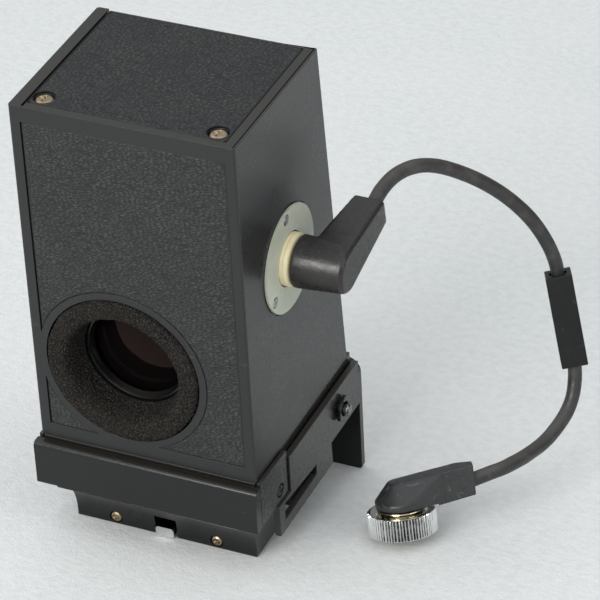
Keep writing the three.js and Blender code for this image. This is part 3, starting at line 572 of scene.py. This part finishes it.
def lathe(name, node, look, profile, at, axis, place, segments=96, shape=None, smooth=35):
    """A turned piece from (radius, height) points; shape(angle, radius, height) may move one."""
    bm = bmesh.new()
    turn = Vector((0, 0, 1)).rotation_difference(Vector(axis)).to_matrix()
    rings = []
    for radius, height in profile:
        count = 1 if radius == 0 else segments
        ring = []
        for k in range(count):
            angle = 2 * math.pi * k / segments
            r, h = shape(angle, radius, height) if shape else (radius, height)
            local = Vector((r * math.cos(angle), r * math.sin(angle), h))
            ring.append(bm.verts.new(turn @ local + Vector(at)))
        rings.append(ring)
    for lower, upper in zip(rings, rings[1:]):
        for k in range(segments):
            quad = [
                lower[k % len(lower)], lower[(k + 1) % len(lower)],
                upper[(k + 1) % len(upper)], upper[k % len(upper)],
            ]
            unique = list(dict.fromkeys(quad))
            if len(unique) >= 3:
                bm.faces.new(unique)
    bmesh.ops.remove_doubles(bm, verts=bm.verts, dist=1e-4)
    mesh = to_mesh(name, bm, place)
    return add_piece(name, mesh, look, node, smooth=smooth)


# ------------------------------------------------------------------------------ cord
# The cord's route in the table frame, the same line that its solid follows.
CORD_ROUTE = [Vector(at) * MM for at in (
    (34.3, 10.45, 72.7), (34.3, 12.4, 73.6), (34.6, 14.9, 75.0), (35.5, 18.0, 76.4),
    (36.9, 21.2, 77.1), (38.6, 24.5, 77.0), (40.8, 28.2, 75.9), (43.8, 32.9, 73.3),
    (47.5, 38.0, 69.5), (51.4, 42.8, 64.7), (55.1, 46.9, 59.0), (57.8, 49.3, 53.6),
    (59.4, 50.5, 49.3), (60.2, 51.0, 45.9), (61.5, 50.73, 41.0), (62.8, 50.45, 36.1),
    (64.1, 50.18, 31.2), (65.4, 49.9, 26.3), (65.9, 49.3, 22.9), (66.1, 47.7, 19.3),
    (65.6, 45.3, 16.3), (64.4, 41.1, 13.6), (63.5, 36.5, 12.8), (62.7, 31.8, 12.9),
    (61.9, 27.4, 13.3), (60.4, 23.0, 13.4), (58.9, 20.7, 13.2), (56.1, 17.9, 12.3),
)]
CORD_DIAMETER = 3.0
IN_BOOT = 1.2  # how far the sheath runs on inside each boot


def smooth_line(points, per_span):
    """Centripetal Catmull-Rom line through the points."""
    ends = [points[0] * 2 - points[1], *points, points[-1] * 2 - points[-2]]
    line = []
    for p0, p1, p2, p3 in zip(ends, ends[1:], ends[2:], ends[3:]):
        t1 = (p1 - p0).length ** 0.5
        t2 = t1 + (p2 - p1).length ** 0.5
        t3 = t2 + (p3 - p2).length ** 0.5
        for k in range(per_span):
            t = t1 + (t2 - t1) * k / per_span
            a1 = p0 * ((t1 - t) / t1) + p1 * (t / t1)
            a2 = p1 * ((t2 - t) / (t2 - t1)) + p2 * ((t - t1) / (t2 - t1))
            a3 = p2 * ((t3 - t) / (t3 - t2)) + p3 * ((t - t2) / (t3 - t2))
            b1 = a1 * ((t2 - t) / t2) + a2 * (t / t2)
            b2 = a2 * ((t3 - t) / (t3 - t1)) + a3 * ((t - t1) / (t3 - t1))
            line.append(b1 * ((t2 - t) / (t2 - t1)) + b2 * ((t - t1) / (t2 - t1)))
    line.append(points[-1].copy())
    return line


def tube(name, line, radius_at, sides=28):
    """A closed tube along a line, with the radius in metres given for each place along it."""
    bm = bmesh.new()
    side = Vector((1, 0, 0))
    rings = []
    for k, at in enumerate(line):
        ahead = (line[min(k + 1, len(line) - 1)] - line[max(k - 1, 0)]).normalized()
        side = (side - ahead * side.dot(ahead)).normalized()
        other = ahead.cross(side)
        rings.append([
            bm.verts.new(at + (side * math.cos(a) + other * math.sin(a)) * radius_at(k, a))
            for a in (2 * math.pi * s / sides for s in range(sides))
        ])
    for lower, upper in zip(rings, rings[1:]):
        for s in range(sides):
            t = (s + 1) % sides
            bm.faces.new((lower[s], lower[t], upper[t], upper[s]))
    bm.faces.new(rings[0])
    bm.faces.new(rings[-1])
    return to_mesh(name, bm)


def cord_radius(k, angle):
    """The sheath is a little uneven along its length."""
    swell = lattice_noise(np.array([k * 0.11]), np.array([angle * 0.6]), 21)[0]
    return (CORD_DIAMETER / 2 + 0.03 * swell) * MM


start_in = (CORD_ROUTE[0] - CORD_ROUTE[1]).normalized() * IN_BOOT * MM
end_in = (CORD_ROUTE[-1] - CORD_ROUTE[-2]).normalized() * IN_BOOT * MM
cord_line = smooth_line([CORD_ROUTE[0] + start_in, *CORD_ROUTE, CORD_ROUTE[-1] + end_in], 10)
cord = add_piece("cord_sheath", tube("cord_sheath", cord_line, cord_radius), "cable_sheath", "cord")

plug_boot = softened("plug_boot_moulding", "plug_boot", "boot_rubber", 0.24, 9)
inline_block = refine("inline_block_moulding", "inline_block", "block_rubber", fine=0.35)
head_boot = softened("head_boot_moulding", "head_boot", "head_rubber", 0.2, 5)

# ------------------------------------------------------------------------------ screw-on head
HEAD_AT = Vector((44.4, 8.6, 1.65))
HEAD_AXIS = Vector((-0.19, 0.115, 0.975)).normalized()

head_collar = lathe(
    "head_collar_turned", "head_collar", "gilt",
    [(1.5, 2.4), (5.1, 2.4), (5.4, 2.7), (5.4, 3.2), (5.3, 3.3), (4.0, 3.4), (4.0, 5.0), (4.1, 5.1),
     (4.85, 5.1), (5.0, 5.22), (5.0, 5.45), (4.9, 5.55), (1.7, 5.55), (1.5, 5.4), (1.5, 2.4)],
    HEAD_AT, HEAD_AXIS, TABLE,
)

TEETH = 68
TOOTH_DEPTH = 0.46
CREST_RADIUS = 7.22  # over the teeth
KNURLED_FROM = 7.05  # profile points further out than this carry teeth


def knurl(angle, radius, height):
    """Straight V grooves down the ring's whole outer wall."""
    if radius < KNURLED_FROM:
        return radius, height
    return radius - TOOTH_DEPTH * groove_depth(angle), height


def groove_depth(angle):
    """0 on a tooth's crest and 1 in the bottom of a groove; no two teeth are quite alike."""
    turn = TEETH * angle / (2 * math.pi)
    uneven = 0.12 * lattice_noise(np.array([turn * 0.9]), np.array([0.0]), 41)[0]
    return float(np.clip(abs(2 * ((turn + uneven) % 1) - 1) * 1.25 - 0.12, 0, 1))


def thread_profile(radius, low, high, pitch, depth):
    """Ridges of the thread inside the ring, from its top to its mouth."""
    points = []
    turns = int((high - low) / pitch)
    for k in range(turns):
        top = high - k * pitch
        points += [(radius, top), (radius + depth, top - pitch / 2)]
    return points + [(radius, low)]


knurled_ring = lathe(
    "knurled_ring_turned", "knurled_ring", "knurled_chrome",
    [(6.25, 0.0), (6.6, 0.0), (7.06, 0.08), (7.2, 0.3), (CREST_RADIUS, 2.4), (7.2, 4.7),
     (7.1, 4.8), (6.6, 4.8), (5.4, 4.8), (5.3, 4.76), (5.2, 4.7), (4.4, 4.7), (4.3, 4.6),
     (4.3, 3.8), (4.4, 3.7),
     *thread_profile(6.0, 0.3, 3.7, 0.5, 0.22), (6.25, 0.0)],
    HEAD_AT, HEAD_AXIS, TABLE, segments=TEETH * 6, shape=knurl, smooth=25,
)
grooves = knurled_ring.data.attributes.new("groove", "FLOAT", "POINT")
for index, vertex in enumerate(knurled_ring.data.vertices):
    arm = vertex.co / MM - HEAD_AT
    arm -= HEAD_AXIS * arm.dot(HEAD_AXIS)
    depth = (CREST_RADIUS - arm.length) / TOOTH_DEPTH
    grooves.data[index].value = depth if arm.length > 6.7 else 0.0
head_pin = lathe(
    "head_pin_turned", "head_pin", "steel",
    [(0, 0.9), (0.5, 0.92), (0.85, 1.05), (1.1, 1.35), (1.2, 1.6), (1.2, 4.5), (1.1, 4.6), (0, 4.6)],
    HEAD_AT, HEAD_AXIS, TABLE, segments=32,
)

# ------------------------------------------------------------------------------ box
BOX_TOP = 79.0
DEPTH_TOP = 39.1
DEPTH_BOTTOM = 46.4
EYE = (-4.0, 20.6)  # X and Z of the eyepiece
EYE_BORDER = 18.8  # outer radius of the smooth border round it
SHEET_GAP = 0.25  # how far the sheets run in under that border's edge
TOP_SCREWS = (-18.6, 18.4)  # their X
TOP_SCREW_Y = 5.1
SCREW_HOLE = 2.25  # radius of the top sheet's holes
BACK_SLOPE = (DEPTH_BOTTOM - DEPTH_TOP) / BOX_TOP


def rounded_box_distance(u, v, low, high, radius):
    """Distance outside a rectangle with rounded corners, negative inside it."""
    mid_u, mid_v = (low[0] + high[0]) / 2, (low[1] + high[1]) / 2
    half_u, half_v = (high[0] - low[0]) / 2 - radius, (high[1] - low[1]) / 2 - radius
    du, dv = np.abs(u - mid_u) - half_u, np.abs(v - mid_v) - half_v
    outside = np.hypot(np.maximum(du, 0), np.maximum(dv, 0))
    return outside + np.minimum(np.maximum(du, dv), 0) - radius


def front_outline(u, v):
    """The front sheet: a rounded rectangle with the eyepiece's smooth border bitten out."""
    sheet = rounded_box_distance(u, v, (-21.35, 3.35), (21.87, 75.45), 0.3)
    bite = EYE_BORDER - SHEET_GAP - np.hypot(u - EYE[0], v - EYE[1])
    corner = 9.0 - np.hypot(u + 21.4, v - 3.6)  # the corner below the border is a sheet of its own
    return np.maximum(np.maximum(sheet, bite), np.minimum(corner, 12.0))


def front_grained(u, v):
    """The grain stops short of the sheet's corners, on a rounder outline."""
    radius = np.where((u > 10) & (v > 60), 2.6, 1.2)
    grained = rounded_box_distance(u, v, (-21.3, 3.4), (21.8, 75.4), radius)
    return np.maximum(grained, front_outline(u, v))


def corner_outline(u, v):
    sheet = rounded_box_distance(u, v, (-21.35, 3.35), (-11.0, 16.0), 0.9)
    return np.maximum(sheet, EYE_BORDER - SHEET_GAP - np.hypot(u - EYE[0], v - EYE[1]))


def top_outline(u, v):
    sheet = rounded_box_distance(u, v, (-20.8, 2.3), (21.2, 38.4), 0.8)
    holes = [SCREW_HOLE - np.hypot(u - x, v - TOP_SCREW_Y) for x in TOP_SCREWS]
    return np.maximum(sheet, np.maximum(*holes))


def rear_outline(u, v):
    return rounded_box_distance(u, v, (-20.75, 3.75), (20.75, 75.25), 1.6)


refine(
    "housing_casting", "housing", "enamel", fine=0.16, broad=0.5, broad_length=15, wanted=upright,
)
refine("top_cover_plate", "top_cover", "enamel", fine=0.2, merged=False)
skin(
    "front_leatherette_sheet", "front_leatherette", ((-21.4, 21.6), (3.6, 75.2)), front_outline,
    lambda u, v, h: (u, -0.02 - h, v), -0.3, front_grained,
)
skin(
    "front_leatherette_scrap", "front_leatherette_corner", ((-21.4, -11.0), (3.6, 16.0)),
    corner_outline, lambda u, v, h: (u, -0.02 - h, v), -0.3,
)
skin(
    "top_leatherette_sheet", "top_leatherette", ((-20.8, 21.2), (2.3, 38.4)), top_outline,
    lambda u, v, h: (u, v, 78.9 + h), -0.4,
)
skin(
    "rear_leatherette_sheet", "rear_leatherette", ((-20.5, 20.5), (4.0, 75.0)), rear_outline,
    lambda u, v, h: (u, DEPTH_BOTTOM - BACK_SLOPE * v + 0.03 + h, v), -0.3,
)
for side in ("left", "right"):
    refine(f"top_screw_{side}_turned", f"top_screw_{side}", "brass", fine=0.1)

# ------------------------------------------------------------------------------ eyepiece
EYE_CENTRE = (EYE[0], 0, EYE[1])


def foam_relief(angle, along):
    """Open pores and a soft unevenness of the foam, in millimetres."""
    around = angle * 14.0
    near, following = cell_distances(around / 0.62, along / 0.62, 31)
    pits = np.clip(1 - near / 0.5, 0, 1)
    walls = np.clip(1 - (following - near) * 3, 0, 1)
    return 0.12 * walls - 0.3 * pits + 0.14 * lattice_noise(around / 3.1, along / 2.5, 33)


def foam_ring():
    """A ring of open-cell foam, crowned in front and sloping in to its hole."""
    profile = np.array([
        (16.6, 1.9), (16.6, 0.6), (16.55, -0.1), (16.3, -0.55), (15.7, -0.82), (14.8, -0.9),
        (13.8, -0.88), (13.1, -0.7), (12.6, -0.35), (12.25, 0.4), (11.95, 1.6), (11.6, 3.6),
        (11.25, 5.8), (12.9, 5.8),
        (12.9, 1.9), (16.6, 1.9),
    ])
    span = np.concatenate(([0], np.cumsum(np.hypot(*np.diff(profile, axis=0).T))))
    shown = span[12]  # the outside, the front and the slope down to the lens
    along = np.concatenate((np.linspace(0, shown, 52), span[13:15]))
    radius = np.interp(along, span, profile[:, 0])
    height = np.interp(along, span, profile[:, 1])
    slope_r, slope_h = np.gradient(radius), np.gradient(height)
    length = np.hypot(slope_r, slope_h)
    out_r, out_h = slope_h / length, -slope_r / length
    flip = -1.0 if out_r[0] < 0 else 1.0
    count = 420
    angle = np.arange(count) * 2 * math.pi / count
    grid_angle, grid_along = np.meshgrid(angle, along, indexing="ij")
    relief = foam_relief(grid_angle, grid_along)
    relief *= np.clip(np.minimum(grid_along, shown - grid_along) / 0.8, 0, 1)
    bm = bmesh.new()
    rings = []
    for k in range(count):
        r = radius + flip * out_r * relief[k]
        h = height + flip * out_h * relief[k]
        x = EYE[0] + r * math.cos(angle[k])
        z = EYE[1] + r * math.sin(angle[k])
        rings.append([bm.verts.new(at) for at in zip(x, h, z)])
    for k in range(count):
        near, far = rings[k], rings[(k + 1) % count]
        for s in range(len(along)):
            t = (s + 1) % len(along)
            bm.faces.new((near[s], near[t], far[t], far[s]))
    return to_mesh("foam_ring", bm, FINDER)


foam = add_piece("foam_ring", foam_ring(), "foam", "foam_eyecup", smooth=80)
lathe(
    "eyepiece_barrel", "eyepiece_flange", "black_plastic",
    [(13.2, 2.2), (17.1, 2.2), (17.1, 3.6), (14.6, 3.6), (14.6, 7.4), (13.2, 7.4), (13.2, 17.0),
     (13.0, 17.2), (10.0, 17.2), (9.9, 17.1), (9.9, 16.1), (10.0, 16.0), (11.7, 16.0),
     *[(11.7 - 0.12 * (k % 2), 15.6 - 0.4 * k) for k in range(24)],
     (11.7, 6.1), (13.2, 6.1), (13.2, 2.2)],
    EYE_CENTRE, (0, 1, 0), FINDER, smooth=20,
)
lathe(
    "lens_ring_turned", "lens_retaining_ring", "gloss",
    [(10.55, 6.45), (10.65, 6.33), (10.8, 6.3), (11.2, 6.3), (11.3, 6.4), (11.3, 7.8), (11.2, 7.9),
     (10.1, 7.9), (10.0, 7.8), (10.55, 6.45)],
    EYE_CENTRE, (0, 1, 0), FINDER,
)


def lens_profile(radius, front, back, front_sag, back_sag):
    """A lens whose faces are front and back away at its middle and sag at its rim."""
    steps = 14
    marks = [radius * k / steps for k in range(steps + 1)]
    near = [(r, front + front_sag * (r / radius) ** 2) for r in marks]
    far = [(r, back - back_sag * (r / radius) ** 2) for r in reversed(marks)]
    return near + far


lathe(
    "eyepiece_lens_polished", "eyepiece_lens", "coated_glass_painted_shade",
    lens_profile(11.3, 8.3, 12, 1.2, 1.2), EYE_CENTRE, (0, 1, 0), FINDER,
)
lathe(
    "inner_lens_polished", "eyepiece_inner_lens", "coated_glass_painted_shade",
    lens_profile(11.3, 12.4, 15.6, 0.8, 0.9), EYE_CENTRE, (0, 1, 0), FINDER,
)

# ------------------------------------------------------------------------------ socket
SOCKET_CENTRE = (0, 20.6, 41.3)
refine("socket_plate_moulding", "socket_plate", "pale_plastic", fine=0.15)
lathe(
    "socket_insert_moulding", "socket_insert", "cream_plastic",
    [(0, 10), (5.35, 10), (5.5, 10.2), (5.5, 24.7), (5.38, 24.9), (5.38, 25.05), (5.5, 25.2),
     (5.48, 25.6), (5.3, 25.95), (4.9, 26.2), (2.3, 26.2), (2.05, 26.0), (2.05, 13), (0, 13)],
    SOCKET_CENTRE, (1, 0, 0), FINDER,
)
for place_name in ("upper", "lower", "rear"):
    refine(f"socket_screw_{place_name}_turned", f"socket_screw_{place_name}", "steel", fine=0.07)

# ------------------------------------------------------------------------------ base
refine("name_plate_casting", "name_plate", "gloss", fine=0.25, broad=0.3, broad_length=2)
refine("front_block_casting", "front_block", "gloss", fine=0.18, broad=0.3, broad_length=4)
refine("catch_tab_turned", "catch_tab", "chrome", fine=0.3)
refine("base_frame_casting", "base_frame", "dusty", fine=0.25)
refine("rear_skirt_plate", "rear_skirt", "gloss", fine=0.12, broad=0.35, broad_length=8)


RAIL_END = 48.2  # the rail's last vertices are behind this
SKIRT_GAP = 0.5


def meet_the_skirt(bm):
    """Runs the rail's rear end on until it touches the skirt."""
    into_finder = FINDER.inverted()
    for vert in bm.verts:
        at = into_finder @ vert.co
        if at.y > RAIL_END:
            vert.co = FINDER @ (at + Vector((0, SKIRT_GAP, 0)))


for side in ("left", "right"):
    refine(f"block_screw_{side}_turned", f"block_screw_{side}", "brass", fine=0.08)
    refine(f"side_plate_{side}_pressing", f"side_plate_{side}", "rail", fine=0.2)
    refine(
        f"side_rail_{side}_pressing", f"side_rail_{side}", "rail", fine=0.18, adjust=meet_the_skirt,
    )
    refine(f"guide_channel_{side}_strip", f"guide_channel_{side}", "black_plastic", fine=0.2)
    refine(f"button_collar_{side}_turned", f"button_collar_{side}", "gloss", fine=0.2)
    refine(f"release_button_{side}_turned", f"release_button_{side}", "dark_chrome", fine=0.15)
    refine(f"side_screw_{side}_turned", f"side_screw_{side}", "gloss", fine=0.08)

# ------------------------------------------------------------------------------ inside pieces
# Pieces that nobody sees keep their CAD shape.
NODE_LOOKS = {
    "roof_prism": "blackened_glass_painted_shade", "prism_cradle": "black_plastic", "prism_strap": "steel",
    "condenser_lens": "glass", "circuit_board": "board", "board_post_left": "steel",
    "board_post_right": "steel", "capacitor": "steel", "amplifier_can": "steel",
    "meter_cell": "steel", "cell_bracket": "black_plastic", "socket_nut": "steel",
    "plug_pin": "brass", "button_spring_left": "steel", "button_spring_right": "steel",
}
for node, look in NODE_LOOKS.items():
    mesh = frame["nodes"][node].data
    mesh.materials.clear()
    mesh.materials.append(LOOKS[look])

# ------------------------------------------------------------------------------ studio
cloth = bpy.data.meshes.new("table_cloth")
sheet = bmesh.new()
bmesh.ops.create_grid(sheet, x_segments=40, y_segments=40, size=3.0)
sheet.to_mesh(cloth)
sheet.free()
cloth.materials.append(cloth_look())
floor = bpy.data.objects.new("table_cloth", cloth)
bpy.context.scene.collection.objects.link(floor)


def soft_light(name, at, target, size, power, color):
    lamp = bpy.data.lights.new(name, "AREA")
    lamp.shape = "RECTANGLE"
    lamp.size, lamp.size_y = size
    lamp.energy = power
    lamp.color = color
    made = bpy.data.objects.new(name, lamp)
    made.location = at
    made.rotation_euler = (Vector(target) - Vector(at)).to_track_quat("-Z", "Y").to_euler()
    bpy.context.scene.collection.objects.link(made)


soft_light("key", (-0.14, -1.08, 0.54), (0, 0, 0.03), (0.6, 0.6), 9.5, (1, 0.99, 0.97))
soft_light("fill", (1.05, -0.1, 0.5), (0.02, 0, 0.03), (0.7, 0.7), 2.2, (1, 0.99, 0.98))

BRIGHT_SKY = (-0.30, -0.45, 0.84)  # the side of the room that is brightest
DIM, BRIGHT = 0.22, 1.30

world = bpy.data.worlds.new("studio")
world.use_nodes = True
sky = world.node_tree
toward = sky.nodes.new("ShaderNodeVectorMath")
toward.operation = "DOT_PRODUCT"
toward.inputs[1].default_value = Vector(BRIGHT_SKY).normalized()
sky.links.new(sky.nodes.new("ShaderNodeTexCoord").outputs["Generated"], toward.inputs[0])
brighten = sky.nodes.new("ShaderNodeMapRange")
for socket, value in zip(brighten.inputs[1:5], (0.0, 0.9, DIM, BRIGHT)):
    socket.default_value = value
sky.links.new(toward.outputs["Value"], brighten.inputs[0])
sky.nodes["Background"].inputs["Color"].default_value = (0.95, 0.98, 1.0, 1)
sky.links.new(brighten.outputs[0], sky.nodes["Background"].inputs["Strength"])
bpy.context.scene.world = world
